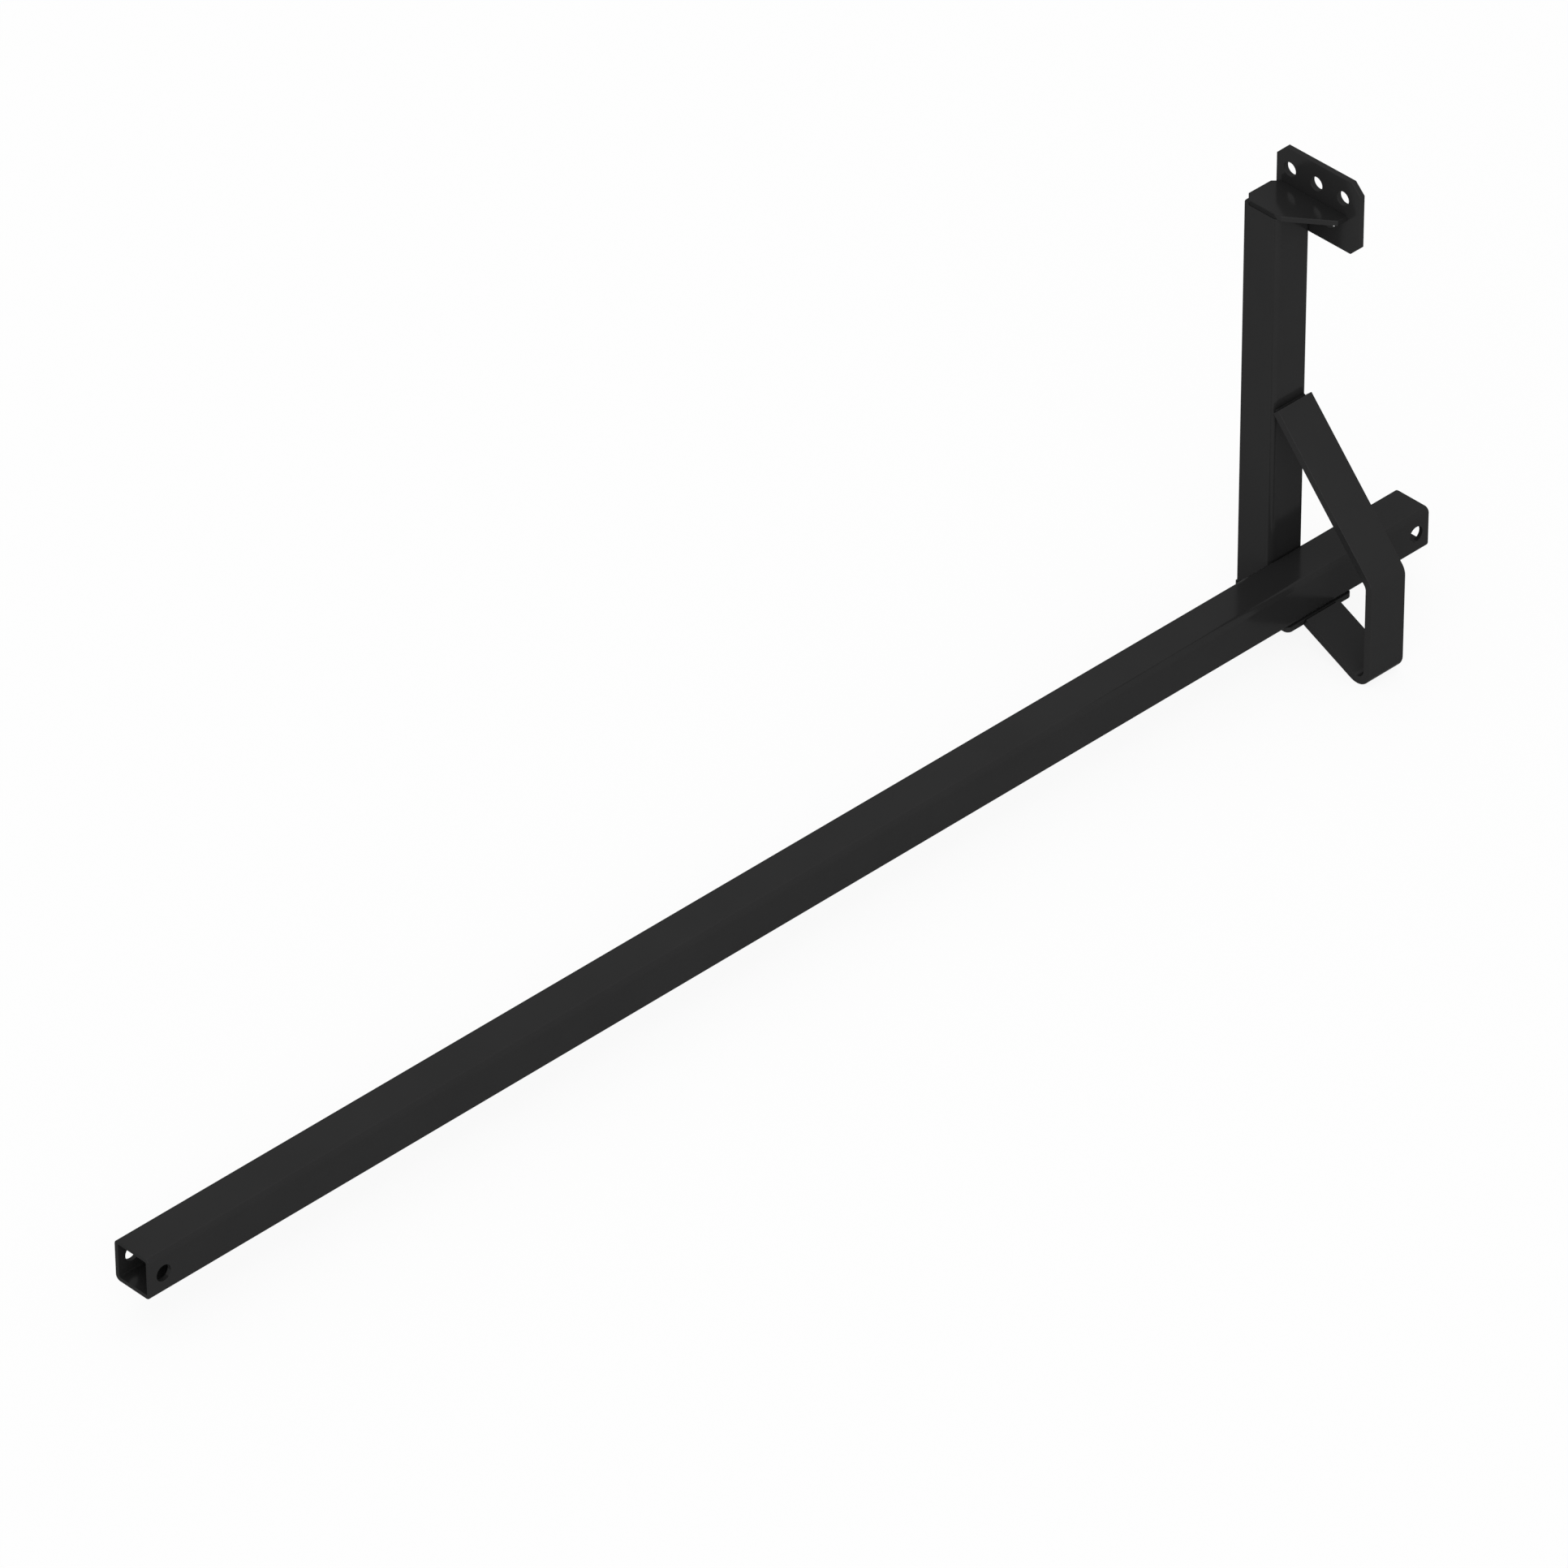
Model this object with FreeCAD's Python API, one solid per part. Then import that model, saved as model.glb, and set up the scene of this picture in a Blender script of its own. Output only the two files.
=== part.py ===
import FreeCAD, Part
import math
import os

from FreeCAD import Vector

# Pull up bar section: a long square rail with a short upright, a base plate, a drilled mounting
# plate, a top gusset and a bent brace strap, all welded together.
# Millimetres. X runs along the rail from its near end, Y points from the rail to the upright,
# Z is up. The origin is the centre of the cross hole near the rail's near end.

# ---- square tube stock ----
TUBE_SIDE = 50.8
TUBE_WALL = 4.76
TUBE_CORNER_RADIUS = 6.35

# ---- rail ----
RAIL_LENGTH = 1828.8
RAIL_HOLE_RADIUS = 9.525
RAIL_HOLE_INSET = 19.05            # hole centre from each end of the rail

# ---- upright ----
UPRIGHT_LENGTH = 483.9
UPRIGHT_TO_FAR_END = 140.0         # outer side of the upright to the rail's far end

# ---- flat plate stock ----
PLATE_THICKNESS = 6.35
ARRIS_RADIUS = 0.5                 # broken edge on plates, strap and tube ends

# ---- base plate under the rail and the upright ----
BASE_WIDTH = 98.2
BASE_FRONT_RADIUS = 6.35
BASE_BACK_CHAMFER = 25.4

# ---- mounting plate on the upright's outer side ----
MOUNT_WIDTH = 120.65
MOUNT_HEIGHT = 88.9
MOUNT_ABOVE_UPRIGHT = 50.6         # top edge above the upright's top
MOUNT_CHAMFER = 12.7
MOUNT_HOLE_RADIUS = 8.3
MOUNT_HOLE_PITCH = 38.1
MOUNT_HOLE_BACK_MARGIN = 19.2      # rear hole centre from the back edge
MOUNT_HOLE_TOP_MARGIN = 25.3       # upper row from the top edge
MOUNT_ROW_DROP = 37.6              # lower hole below the upper row

# ---- gusset plate on top of the upright ----
GUSSET_INSET = 1.65                # side edge back from the upright's inner side
GUSSET_BACK_CHAMFER = 7.94
GUSSET_SHOULDER = 3.9              # side edge runs this far in front of the upright
GUSSET_TIP_WIDTH = 13.3            # square tip against the mounting plate

# ---- brace strap, bent from flat bar ----
STRAP_WIDTH = 50.8
STRAP_THICKNESS = 9.525
STRAP_REACH = 97.4                 # outer face in front of the rail's front face
STRAP_HEAD_HEIGHT = 241.0          # head above the rail's underside
STRAP_UPPER_SLOPE = 48.17          # degrees below level, head to knee
STRAP_LOWER_SLOPE = 25.13          # degrees below level, foot to heel
STRAP_BEND_RADIUS = 9.525          # inside radius of both bends

# ---- weld beads ----
WELD_LEG = 4.8                     # fillet leg
WELD_CROWN = 0.6                   # height of the bead's crown over its flat face
WELD_ROOT_LEG = 3.4                # small beads at the bottom of open grooves
WELD_END_GAP = 3.0                 # bead stops short of an edge or a corner

# ---- places worked out from the sizes above ----
HALF_TUBE = TUBE_SIDE / 2
RAIL_X0 = -RAIL_HOLE_INSET
RAIL_X1 = RAIL_X0 + RAIL_LENGTH
RAIL_FRONT = -HALF_TUBE
RAIL_BACK = HALF_TUBE
RAIL_BOTTOM = -HALF_TUBE

UPRIGHT_X1 = RAIL_X1 - UPRIGHT_TO_FAR_END
UPRIGHT_X0 = UPRIGHT_X1 - TUBE_SIDE
UPRIGHT_MIDDLE_X = (UPRIGHT_X0 + UPRIGHT_X1) / 2
UPRIGHT_FRONT = RAIL_BACK
UPRIGHT_BACK = UPRIGHT_FRONT + TUBE_SIDE
UPRIGHT_TOP = RAIL_BOTTOM + UPRIGHT_LENGTH

BASE_X0 = UPRIGHT_MIDDLE_X - BASE_WIDTH / 2
BASE_X1 = UPRIGHT_MIDDLE_X + BASE_WIDTH / 2
BASE_UNDERSIDE = RAIL_BOTTOM - PLATE_THICKNESS

MOUNT_TOP = UPRIGHT_TOP + MOUNT_ABOVE_UPRIGHT
MOUNT_BOTTOM = MOUNT_TOP - MOUNT_HEIGHT
MOUNT_FRONT = UPRIGHT_BACK - MOUNT_WIDTH

STRAP_X0 = UPRIGHT_MIDDLE_X - STRAP_WIDTH / 2
STRAP_X1 = UPRIGHT_MIDDLE_X + STRAP_WIDTH / 2
STRAP_HEAD_Z = RAIL_BOTTOM + STRAP_HEAD_HEIGHT


# ---- drawing helpers ----

def corner_edges(before, corner, after, finish, size):
    """Where the outline enters and leaves a corner, and the edge between, if any."""
    to_before = (before - corner).normalize()
    to_after = (after - corner).normalize()
    if finish == "sharp":
        return corner, corner, None
    if finish == "chamfer":
        start = corner + to_before * size
        end = corner + to_after * size
        return start, end, Part.LineSegment(start, end).toShape()
    half_angle = to_before.getAngle(to_after) / 2
    start = corner + to_before * (size / math.tan(half_angle))
    end = corner + to_after * (size / math.tan(half_angle))
    inward = (to_before + to_after).normalize()
    crown = corner + inward * (size / math.sin(half_angle) - size)
    return start, end, Part.Arc(start, crown, end).toShape()


def outline(corners):
    """Closed flat face from corners given as (point, finish, size)."""
    count = len(corners)
    turned = []
    for index, (point, finish, size) in enumerate(corners):
        before = corners[index - 1][0]
        after = corners[(index + 1) % count][0]
        turned.append(corner_edges(before, point, after, finish, size))
    edges = []
    for index, (start, end, edge) in enumerate(turned):
        if edge is not None:
            edges.append(edge)
        next_start = turned[(index + 1) % count][0]
        edges.append(Part.LineSegment(end, next_start).toShape())
    return Part.Face(Part.Wire(edges))


def square_loop(side, radius, to_point):
    """Square face with rounded corners, centred on the tube's axis."""
    half = side / 2
    signs = [(-1, -1), (1, -1), (1, 1), (-1, 1)]
    finish = "round" if radius > 0 else "sharp"
    return outline([(to_point(u * half, v * half), finish, radius) for u, v in signs])


def square_tube(to_point, along):
    """Tube whose end is drawn by to_point and which runs by the vector along."""
    outer = square_loop(TUBE_SIDE, TUBE_CORNER_RADIUS, to_point).extrude(along)
    inner_radius = max(TUBE_CORNER_RADIUS - TUBE_WALL, 0)
    inner = square_loop(TUBE_SIDE - 2 * TUBE_WALL, inner_radius, to_point).extrude(along)
    return outer.cut(inner)


def edge_lies_on(edge, axis, values):
    """True if the whole edge is at one of the values along the axis."""
    box = edge.BoundBox
    low = getattr(box, axis + "Min")
    high = getattr(box, axis + "Max")
    return any(abs(low - value) < 1e-4 and abs(high - value) < 1e-4 for value in values)


def break_edges(solid, axis, values):
    """Round the arrises of the two faces that lie at the values along the axis."""
    edges = [edge for edge in solid.Edges if edge_lies_on(edge, axis, values)]
    return solid.makeFillet(ARRIS_RADIUS, edges)


def cylinder(start, direction, length, radius):
    return Part.makeCylinder(radius, length, start, direction)


def save(name, shape):
    shape.exportStep("parts/" + name + ".step")


# ---- structural pieces ----

def make_rail():
    """Horizontal square tube, open at both ends, with a cross hole near each end."""
    def to_point(u, v):
        return Vector(RAIL_X0, u, v)

    tube = square_tube(to_point, Vector(RAIL_LENGTH, 0, 0))
    tube = break_edges(tube, "X", [RAIL_X0, RAIL_X1])
    for hole_x in (RAIL_X0 + RAIL_HOLE_INSET, RAIL_X1 - RAIL_HOLE_INSET):
        start = Vector(hole_x, RAIL_FRONT - 1, 0)
        tube = tube.cut(cylinder(start, Vector(0, 1, 0), TUBE_SIDE + 2, RAIL_HOLE_RADIUS))
    return tube


def make_upright():
    """Vertical square tube behind the rail, standing on the base plate."""
    middle_y = (UPRIGHT_FRONT + UPRIGHT_BACK) / 2

    def to_point(u, v):
        return Vector(UPRIGHT_MIDDLE_X + u, middle_y + v, RAIL_BOTTOM)

    return square_tube(to_point, Vector(0, 0, UPRIGHT_LENGTH))


def make_base_plate():
    """Flat plate under the rail and the upright, with rounded front and cut back corners."""
    def at(x, y):
        return Vector(x, y, BASE_UNDERSIDE)

    face = outline([
        (at(BASE_X0, RAIL_FRONT), "round", BASE_FRONT_RADIUS),
        (at(BASE_X1, RAIL_FRONT), "round", BASE_FRONT_RADIUS),
        (at(BASE_X1, UPRIGHT_BACK), "chamfer", BASE_BACK_CHAMFER),
        (at(BASE_X0, UPRIGHT_BACK), "chamfer", BASE_BACK_CHAMFER),
    ])
    plate = face.extrude(Vector(0, 0, PLATE_THICKNESS))
    return break_edges(plate, "Z", [BASE_UNDERSIDE, RAIL_BOTTOM])


def mount_hole_centres():
    """Y and Z of the mounting plate's holes: a row of three and one below, half a pitch in."""
    row_z = MOUNT_TOP - MOUNT_HOLE_TOP_MARGIN
    rear_y = UPRIGHT_BACK - MOUNT_HOLE_BACK_MARGIN
    centres = [(rear_y - index * MOUNT_HOLE_PITCH, row_z) for index in range(3)]
    centres.append((rear_y - 1.5 * MOUNT_HOLE_PITCH, row_z - MOUNT_ROW_DROP))
    return centres


def make_mounting_plate():
    """Vertical plate welded to the upright's outer side, drilled for bolts."""
    def at(y, z):
        return Vector(UPRIGHT_X1, y, z)

    face = outline([
        (at(MOUNT_FRONT, MOUNT_BOTTOM), "chamfer", MOUNT_CHAMFER),
        (at(UPRIGHT_BACK, MOUNT_BOTTOM), "chamfer", MOUNT_CHAMFER),
        (at(UPRIGHT_BACK, MOUNT_TOP), "chamfer", MOUNT_CHAMFER),
        (at(MOUNT_FRONT, MOUNT_TOP), "chamfer", MOUNT_CHAMFER),
    ])
    plate = face.extrude(Vector(PLATE_THICKNESS, 0, 0))
    for hole_y, hole_z in mount_hole_centres():
        start = Vector(UPRIGHT_X1 - 1, hole_y, hole_z)
        plate = plate.cut(cylinder(start, Vector(1, 0, 0), PLATE_THICKNESS + 2, MOUNT_HOLE_RADIUS))
    return break_edges(plate, "X", [UPRIGHT_X1, UPRIGHT_X1 + PLATE_THICKNESS])


def make_top_gusset():
    """Flat plate on the upright's top that runs forward along the mounting plate."""
    side_x = UPRIGHT_X0 + GUSSET_INSET
    tip_x = UPRIGHT_X1 - GUSSET_TIP_WIDTH

    def at(x, y):
        return Vector(x, y, UPRIGHT_TOP)

    face = outline([
        (at(UPRIGHT_X1, RAIL_FRONT), "sharp", 0),
        (at(UPRIGHT_X1, UPRIGHT_BACK), "chamfer", GUSSET_BACK_CHAMFER),
        (at(side_x, UPRIGHT_BACK), "chamfer", GUSSET_BACK_CHAMFER),
        (at(side_x, UPRIGHT_FRONT - GUSSET_SHOULDER), "sharp", 0),
        (at(tip_x, RAIL_FRONT), "sharp", 0),
    ])
    plate = face.extrude(Vector(0, 0, PLATE_THICKNESS))
    return break_edges(plate, "Z", [UPRIGHT_TOP, UPRIGHT_TOP + PLATE_THICKNESS])


class StrapLine:
    """Corners of the strap's side view, as (y, z): outer face first, then inner face."""

    def __init__(self):
        upper = math.radians(STRAP_UPPER_SLOPE)
        lower = math.radians(STRAP_LOWER_SLOPE)
        outer_y = RAIL_FRONT - STRAP_REACH
        inner_y = outer_y + STRAP_THICKNESS
        self.foot_outer = (RAIL_FRONT, BASE_UNDERSIDE)
        self.foot_inner = self.offset(self.foot_outer, lower)
        self.head_inner = (UPRIGHT_FRONT, STRAP_HEAD_Z)
        self.head_outer = self.offset(self.head_inner, upper)
        self.heel_outer = (outer_y, self.height(self.foot_outer, lower, outer_y))
        self.heel_inner = (inner_y, self.height(self.foot_inner, lower, inner_y))
        self.knee_outer = (outer_y, self.height(self.head_outer, upper, outer_y))
        self.knee_inner = (inner_y, self.height(self.head_inner, upper, inner_y))

    @staticmethod
    def offset(point, slope):
        """The point moved square to a leg by the strap's thickness."""
        y, z = point
        return (y - STRAP_THICKNESS * math.sin(slope), z + STRAP_THICKNESS * math.cos(slope))

    @staticmethod
    def height(point, slope, y):
        """Height at y of the line through the point that falls towards the front."""
        return point[1] - (point[0] - y) * math.tan(slope)


def make_brace_strap():
    """Flat bar bent twice: upright to knee, down to the heel, and back to the base plate."""
    line = StrapLine()
    outer_radius = STRAP_BEND_RADIUS + STRAP_THICKNESS

    def at(point):
        return Vector(STRAP_X0, point[0], point[1])

    face = outline([
        (at(line.foot_outer), "sharp", 0),
        (at(line.heel_outer), "round", outer_radius),
        (at(line.knee_outer), "round", outer_radius),
        (at(line.head_outer), "sharp", 0),
        (at(line.head_inner), "sharp", 0),
        (at(line.knee_inner), "round", STRAP_BEND_RADIUS),
        (at(line.heel_inner), "round", STRAP_BEND_RADIUS),
        (at(line.foot_inner), "sharp", 0),
    ])
    strap = face.extrude(Vector(STRAP_WIDTH, 0, 0))
    return break_edges(strap, "X", [STRAP_X0, STRAP_X1])


# ---- weld beads ----

def bead(root, toe_a, toe_b, along, neighbours):
    """Weld bead with a crowned face from toe to toe, cut to fit the pieces it joins."""
    middle = (toe_a + toe_b) * 0.5
    chord = (toe_b - toe_a).normalize()
    to_root = root - middle
    outward = chord * to_root.dot(chord) - to_root
    crown = middle + outward.normalize() * WELD_CROWN
    edges = [
        Part.LineSegment(root, toe_a).toShape(),
        Part.Arc(toe_a, crown, toe_b).toShape(),
        Part.LineSegment(toe_b, root).toShape(),
    ]
    solid = Part.Face(Part.Wire(edges)).extrude(along)
    for neighbour in neighbours:
        solid = solid.cut(neighbour)
    return solid


def weld_rail_to_upright(side, rail, upright):
    """Bead in the groove between the rail's back and the upright's round corner."""
    length = TUBE_SIDE - 2 * TUBE_CORNER_RADIUS
    low = RAIL_BOTTOM + TUBE_CORNER_RADIUS
    corner_x = UPRIGHT_X0 if side < 0 else UPRIGHT_X1
    lean = TUBE_CORNER_RADIUS * math.sin(math.radians(45))
    root = Vector(corner_x - side * TUBE_CORNER_RADIUS, UPRIGHT_FRONT, low)
    toe_rail = root + Vector(side * WELD_LEG, 0, 0)
    toe_upright = root + Vector(side * lean, TUBE_CORNER_RADIUS - lean, 0)
    return bead(root, toe_rail, toe_upright, Vector(0, 0, length), [rail, upright])


def weld_base_to_rail(side, rail, base_plate):
    """Fillet under the rail along a side edge of the base plate."""
    edge_x = BASE_X0 if side < 0 else BASE_X1
    start_y = RAIL_FRONT + 2 * TUBE_CORNER_RADIUS
    root = Vector(edge_x, start_y, RAIL_BOTTOM)
    toe_rail = root + Vector(side * WELD_LEG, 0, 0)
    toe_plate = root + Vector(0, 0, -WELD_LEG)
    inner = root + Vector(-side * 2 * ARRIS_RADIUS, 0, 0)
    length = TUBE_SIDE - 4 * TUBE_CORNER_RADIUS
    along = Vector(0, length, 0)
    throat = bead(root, toe_rail, toe_plate, along, [rail, base_plate])
    edges = [(inner, "sharp", 0), (root, "sharp", 0), (toe_plate, "sharp", 0)]
    behind_arris = outline(edges).extrude(along).cut(base_plate).cut(rail)
    return throat.fuse(behind_arris).removeSplitter()


def weld_base_to_upright(side, upright, base_plate):
    """Fillet on the base plate along a side of the upright's foot."""
    face_x = UPRIGHT_X0 if side < 0 else UPRIGHT_X1
    root = Vector(face_x, UPRIGHT_FRONT + TUBE_CORNER_RADIUS, RAIL_BOTTOM)
    toe_plate = root + Vector(side * WELD_LEG, 0, 0)
    toe_upright = root + Vector(0, 0, WELD_LEG)
    length = TUBE_SIDE - 2 * TUBE_CORNER_RADIUS
    return bead(root, toe_plate, toe_upright, Vector(0, length, 0), [upright, base_plate])


def strap_bead(root, toe_a, toe_b, neighbours):
    """Bead across the strap, from points given as (y, z)."""
    x0 = STRAP_X0 + WELD_END_GAP
    points = [Vector(x0, y, z) for y, z in (root, toe_a, toe_b)]
    along = Vector(STRAP_WIDTH - 2 * WELD_END_GAP, 0, 0)
    return bead(points[0], points[1], points[2], along, neighbours)


def weld_strap_head_groove(upright, strap):
    """Root bead in the open groove above the strap's head."""
    line = StrapLine()
    slope = math.radians(STRAP_UPPER_SLOPE)
    y, z = line.head_inner
    toe_upright = (y, z + WELD_ROOT_LEG)
    toe_strap = (y - WELD_ROOT_LEG * math.sin(slope), z + WELD_ROOT_LEG * math.cos(slope))
    return strap_bead(line.head_inner, toe_upright, toe_strap, [upright, strap])


def weld_strap_head_under(upright, strap):
    """Fillet in the sharp corner under the strap's head."""
    line = StrapLine()
    slope = math.radians(STRAP_UPPER_SLOPE)
    leg = 2 * WELD_LEG
    y, z = line.head_inner
    toe_upright = (y, z - leg)
    toe_strap = (y - leg * math.cos(slope), z - leg * math.sin(slope))
    return strap_bead(line.head_inner, toe_upright, toe_strap, [upright, strap])


def weld_strap_foot_groove(base_plate, strap, under_bead):
    """Root bead in the open groove between the strap's foot and the base plate's edge."""
    line = StrapLine()
    slope = math.radians(STRAP_LOWER_SLOPE)
    leg = PLATE_THICKNESS - ARRIS_RADIUS
    y, z = line.foot_outer
    toe_plate = (y, z + leg)
    toe_strap = (y - leg * math.sin(slope), z + leg * math.cos(slope))
    return strap_bead(line.foot_outer, toe_plate, toe_strap, [base_plate, strap, under_bead])


def weld_strap_foot_under(base_plate, strap):
    """Low bead over the seam under the strap's foot."""
    line = StrapLine()
    slope = math.radians(STRAP_LOWER_SLOPE)
    y, z = line.foot_outer
    toe_plate = Vector(STRAP_X0 + WELD_END_GAP, y + WELD_LEG, z)
    drop = Vector(0, -WELD_LEG * math.cos(slope), -WELD_LEG * math.sin(slope))
    seam = Vector(toe_plate.x, y, z)
    toe_strap = seam + drop
    below = Vector(0, math.sin(slope / 2), -math.cos(slope / 2)) * (2 * WELD_CROWN)
    edges = [
        Part.Arc(toe_plate, seam + below, toe_strap).toShape(),
        Part.LineSegment(toe_strap, seam + Vector(0, 0, ARRIS_RADIUS)).toShape(),
        Part.LineSegment(seam + Vector(0, 0, ARRIS_RADIUS), toe_plate).toShape(),
    ]
    along = Vector(STRAP_WIDTH - 2 * WELD_END_GAP, 0, 0)
    return Part.Face(Part.Wire(edges)).extrude(along).cut(base_plate).cut(strap)


def weld_gusset_to_upright(upright, gusset):
    """Fillet under the gusset's overhang along the upright's front."""
    start_x = UPRIGHT_MIDDLE_X - WELD_END_GAP
    root = Vector(start_x, UPRIGHT_FRONT, UPRIGHT_TOP)
    toe_gusset = root + Vector(0, -WELD_LEG, 0)
    toe_upright = root + Vector(0, 0, -WELD_LEG)
    length = UPRIGHT_X1 - TUBE_CORNER_RADIUS - start_x
    return bead(root, toe_gusset, toe_upright, Vector(length, 0, 0), [upright, gusset])


def weld_gusset_to_mount(gusset, mounting_plate):
    """Fillet under the gusset's overhang along the mounting plate."""
    start_y = RAIL_FRONT + GUSSET_TIP_WIDTH
    root = Vector(UPRIGHT_X1, start_y, UPRIGHT_TOP)
    toe_gusset = root + Vector(-WELD_LEG, 0, 0)
    toe_mount = root + Vector(0, 0, -WELD_LEG)
    length = UPRIGHT_FRONT - WELD_LEG - start_y
    return bead(root, toe_gusset, toe_mount, Vector(0, length, 0), [gusset, mounting_plate])


def weld_gusset_side(upright, gusset):
    """Seal bead on the ledge between the gusset's side edge and the upright's rim."""
    start_y = UPRIGHT_FRONT + TUBE_CORNER_RADIUS / 2 + ARRIS_RADIUS
    root = Vector(UPRIGHT_X0 + GUSSET_INSET, start_y, UPRIGHT_TOP)
    toe_upright = root + Vector(ARRIS_RADIUS - GUSSET_INSET, 0, 0)
    toe_gusset = root + Vector(0, 0, WELD_LEG)
    length = UPRIGHT_BACK - GUSSET_BACK_CHAMFER - ARRIS_RADIUS - start_y
    return bead(root, toe_upright, toe_gusset, Vector(0, length, 0), [upright, gusset])


def weld_mount_to_upright_back(upright, mounting_plate):
    """Bead in the groove between the mounting plate and the upright's round back corner."""
    low = MOUNT_BOTTOM + MOUNT_CHAMFER
    lean = TUBE_CORNER_RADIUS * math.sin(math.radians(45))
    root = Vector(UPRIGHT_X1, UPRIGHT_BACK - TUBE_CORNER_RADIUS, low)
    toe_mount = root + Vector(0, WELD_LEG, 0)
    toe_upright = root + Vector(lean - TUBE_CORNER_RADIUS, lean, 0)
    length = UPRIGHT_TOP - low
    return bead(root, toe_mount, toe_upright, Vector(0, 0, length), [upright, mounting_plate])


def weld_mount_to_upright_below(upright, mounting_plate):
    """Fillet under the mounting plate's lower edge on the upright's outer side."""
    start_y = UPRIGHT_FRONT + TUBE_CORNER_RADIUS
    root = Vector(UPRIGHT_X1, start_y, MOUNT_BOTTOM)
    toe_mount = root + Vector(WELD_LEG, 0, 0)
    toe_upright = root + Vector(0, 0, -WELD_LEG)
    length = UPRIGHT_BACK - MOUNT_CHAMFER - start_y
    return bead(root, toe_mount, toe_upright, Vector(0, length, 0), [upright, mounting_plate])


# ---- build and write every piece ----

os.makedirs("parts", exist_ok=True)

rail = make_rail()
upright = make_upright()
base_plate = make_base_plate()
mounting_plate = make_mounting_plate()
top_gusset = make_top_gusset()
brace_strap = make_brace_strap()
foot_under = weld_strap_foot_under(base_plate, brace_strap)

pieces = {
    "rail": rail,
    "upright": upright,
    "base_plate": base_plate,
    "mounting_plate": mounting_plate,
    "top_gusset": top_gusset,
    "brace_strap": brace_strap,
    "weld_strap_head_groove": weld_strap_head_groove(upright, brace_strap),
    "weld_strap_head_under": weld_strap_head_under(upright, brace_strap),
    "weld_strap_foot_groove": weld_strap_foot_groove(base_plate, brace_strap, foot_under),
    "weld_strap_foot_under": foot_under,
    "weld_gusset_upright": weld_gusset_to_upright(upright, top_gusset),
    "weld_gusset_mount": weld_gusset_to_mount(top_gusset, mounting_plate),
    "weld_gusset_side": weld_gusset_side(upright, top_gusset),
    "weld_mount_upright_back": weld_mount_to_upright_back(upright, mounting_plate),
    "weld_mount_upright_below": weld_mount_to_upright_below(upright, mounting_plate),
}
for side, word in ((-1, "inboard"), (1, "outboard")):
    pieces["weld_rail_upright_" + word] = weld_rail_to_upright(side, rail, upright)
    pieces["weld_base_rail_" + word] = weld_base_to_rail(side, rail, base_plate)
    pieces["weld_base_upright_" + word] = weld_base_to_upright(side, upright, base_plate)

for name, shape in pieces.items():
    save(name, shape)
    print(name, "solids", len(shape.Solids), "valid", shape.isValid(), "mm3", round(shape.Volume, 1))
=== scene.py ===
"""Looks for a welded steel pull up bar: black powder coat, weld beads, a pale studio and a camera.

The steel pieces keep the shapes they were packed with and get a coated finish. The weld beads are
laid again here with their ripples, in the places of the plain beads. All lengths are in metres.
"""

import math
import random

import bmesh
import bpy
from mathutils import Matrix, Vector


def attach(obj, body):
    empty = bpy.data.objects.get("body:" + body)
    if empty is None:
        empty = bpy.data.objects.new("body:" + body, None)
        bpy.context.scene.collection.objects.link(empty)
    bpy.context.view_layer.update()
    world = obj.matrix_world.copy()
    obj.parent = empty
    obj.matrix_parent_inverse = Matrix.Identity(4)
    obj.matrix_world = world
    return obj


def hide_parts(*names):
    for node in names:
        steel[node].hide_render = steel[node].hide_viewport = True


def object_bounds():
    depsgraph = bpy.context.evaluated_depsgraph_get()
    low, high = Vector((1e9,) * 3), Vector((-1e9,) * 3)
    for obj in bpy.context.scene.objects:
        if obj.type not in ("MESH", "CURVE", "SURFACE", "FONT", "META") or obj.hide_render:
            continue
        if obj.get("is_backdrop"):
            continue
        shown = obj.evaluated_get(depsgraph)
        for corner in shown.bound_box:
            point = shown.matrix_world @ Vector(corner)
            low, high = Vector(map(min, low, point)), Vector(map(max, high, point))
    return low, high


bl_info = {
    "name": "Pull Up Bar Looks",
    "version": (1, 0, 0),
    "blender": (4, 5, 0),
    "location": "3D View > Sidebar > Pull Up Bar",
    "description": "Coats a welded pull up bar, lays its weld beads and sets a pale studio",
    "category": "Object",
}

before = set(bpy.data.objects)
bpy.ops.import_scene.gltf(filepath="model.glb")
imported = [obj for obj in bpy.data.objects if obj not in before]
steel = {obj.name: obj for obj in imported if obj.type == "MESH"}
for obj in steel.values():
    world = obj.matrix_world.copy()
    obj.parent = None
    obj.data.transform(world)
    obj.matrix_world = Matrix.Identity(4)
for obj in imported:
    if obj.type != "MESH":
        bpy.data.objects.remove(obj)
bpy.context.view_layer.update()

TUBES = ("rail", "upright")
PLATES = ("base_plate", "mounting_plate", "top_gusset")
STRAPS = ("brace_strap",)

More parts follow.
